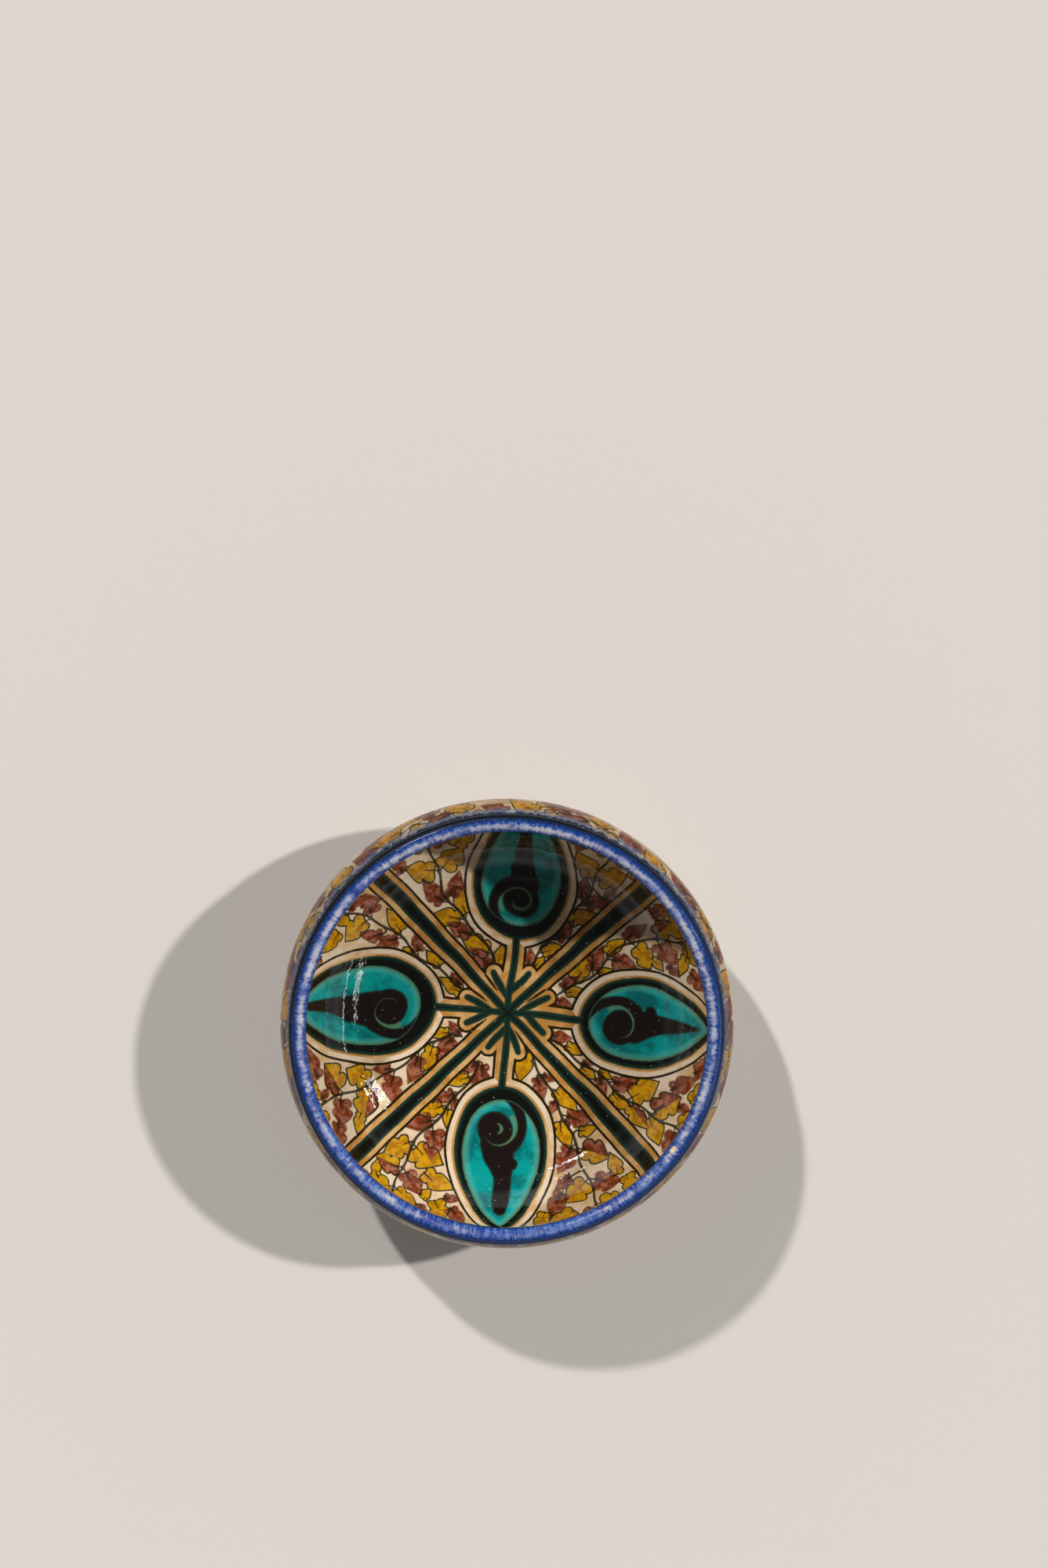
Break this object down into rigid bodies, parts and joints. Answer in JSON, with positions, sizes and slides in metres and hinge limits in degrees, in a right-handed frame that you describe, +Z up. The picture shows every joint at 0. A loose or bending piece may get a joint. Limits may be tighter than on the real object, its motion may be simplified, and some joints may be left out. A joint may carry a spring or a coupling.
{
  "type": "pottery bowl",
  "caption": "Wheel-thrown round pottery bowl with an in-curved wall, a rolled cobalt lip, a turned foot ring and painted glaze inside and out.",
  "frame": {"origin": "on the bowl's axis, on the plane that the foot ring stands on", "axes": "+Z up along the axis, out of the mouth; +X and +Y in the table plane"},
  "size_m": [0.14, 0.14, 0.056],
  "materials": {
    "buff_clay": "bare fired buff earthenware, matte and slightly gritty",
    "painted_inside": "glossy clear glaze over a cream ground painted in black, turquoise, ochre and manganese brown",
    "painted_outside": "glossy clear glaze over a cream ground painted with ochre and manganese leaves, cobalt run down from the lip",
    "cobalt_rim": "glossy streaky cobalt glaze",
    "clear_base": "glossy clear glaze over cream"
  },
  "bodies": {
    "root": {"clay_wall": "buff_clay", "rim_roll": "buff_clay", "foot_ring": "buff_clay", "inner_glaze": "painted_inside", "outer_glaze": "painted_outside", "rim_glaze": "cobalt_rim", "base_glaze": "clear_base"}
  },
  "joints": []
}
